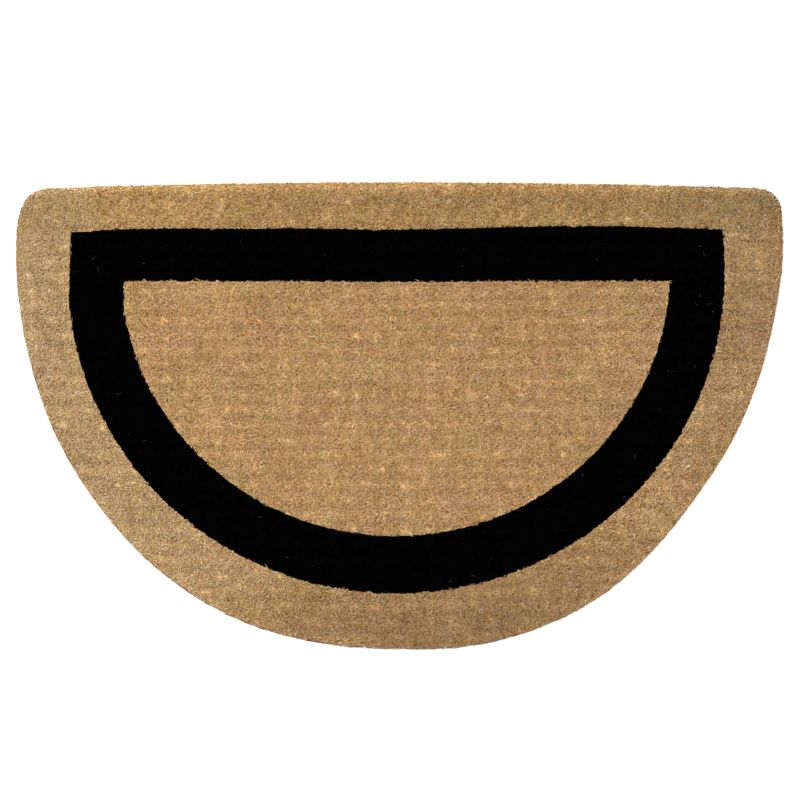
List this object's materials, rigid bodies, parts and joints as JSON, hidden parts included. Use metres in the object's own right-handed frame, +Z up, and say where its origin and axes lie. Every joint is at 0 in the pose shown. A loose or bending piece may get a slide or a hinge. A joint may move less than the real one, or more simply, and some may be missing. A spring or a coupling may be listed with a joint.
{
  "type": "doormat",
  "caption": "Half-round doormat of thick natural coir pile with a plain black border line set in from its edge; it lies flat on the floor.",
  "frame": {"origin": "middle of the mat's outer box, on the floor that it lies on", "axes": "+X along the straight edge, +Y from the foot of the curved edge to the straight edge, +Z up through the pile"},
  "size_m": [0.9142, 0.558, 0.038],
  "materials": {
    "coir": "matt natural coir pile, fine and bristly",
    "black_coir": "matt coir pile dyed black, of the plain border line"
  },
  "bodies": {
    "root": {"mat": "coir"}
  },
  "joints": []
}
